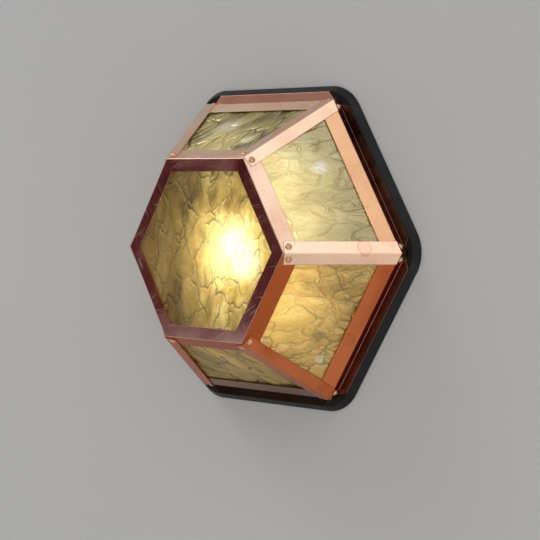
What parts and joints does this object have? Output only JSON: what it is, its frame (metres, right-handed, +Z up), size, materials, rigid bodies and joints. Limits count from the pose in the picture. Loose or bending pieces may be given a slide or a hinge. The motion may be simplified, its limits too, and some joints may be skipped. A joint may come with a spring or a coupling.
{
  "type": "flush wall light",
  "caption": "Low six-sided wall lantern of riveted copper sheet and amber textured glass, on a black wall pan with a screw lampholder inside.",
  "frame": {"origin": "centre of the back face, on the wall, where the circle of the wall screw holes is centred", "axes": "+X to the viewer's right, across the corners; +Y into the wall; +Z up, across the flats; the lantern stands out towards -Y"},
  "size_m": [0.3352, 0.102, 0.3],
  "materials": {
    "pan_coat": "black semi-gloss coat on a cast pan",
    "grommet_rubber": "matt black rubber",
    "zinc_plate": "bright zinc plate",
    "holder_moulding": "smooth ivory moulding",
    "brass": "plain brass",
    "lamp_body": "opal globe",
    "block_moulding": "off-white moulding",
    "brown_insulation": "brown insulation",
    "blue_insulation": "blue insulation",
    "dark_copper": "copper sheet with a dark wine-brown patina",
    "copper": "weathered copper sheet, satin with water marks",
    "amber_glass": "amber textured glass"
  },
  "bodies": {
    "base": {"wall_pan": "pan_coat", "cable_grommet": "grommet_rubber", "shade_springs": "zinc_plate", "spring_screws": "zinc_plate", "holder_bracket": "zinc_plate", "bracket_screws": "zinc_plate", "lampholder": "holder_moulding", "screw_shell": "brass", "centre_contact": "brass", "spigot_nut": "zinc_plate", "terminal_block": "block_moulding", "terminal_sleeves": "brass", "terminal_screws": "brass", "block_screw": "zinc_plate", "earth_screw": "brass", "live_lead": "brown_insulation", "neutral_lead": "blue_insulation"},
    "shade": {"front_ring": "dark_copper", "rib_right": "copper", "rib_upper_right": "copper", "rib_upper_left": "copper", "rib_left": "copper", "rib_lower_left": "copper", "rib_lower_right": "copper", "rail_top": "copper", "rail_upper_left": "copper", "rail_lower_left": "copper", "rail_bottom": "copper", "rail_lower_right": "copper", "rail_upper_right": "copper", "front_rivets": "copper", "rim_rivets": "copper", "front_pane": "amber_glass", "pane_top": "amber_glass", "pane_upper_left": "amber_glass", "pane_lower_left": "amber_glass", "pane_bottom": "amber_glass", "pane_lower_right": "amber_glass", "pane_upper_right": "amber_glass", "pane_clips": "copper", "front_pane_clips": "copper"},
    "lamp": {"lamp": "lamp_body"}
  },
  "joints": [
    {"name": "shade_lift", "type": "slide", "parent": "base", "child": "shade", "axis": [0, -1, 0], "range_m": [0, 0.13]},
    {"name": "lamp_turn", "type": "hinge", "parent": "base", "child": "lamp", "pos_m": [0, -0.05, 0], "axis": [0, 0, 1], "continuous": true}
  ]
}
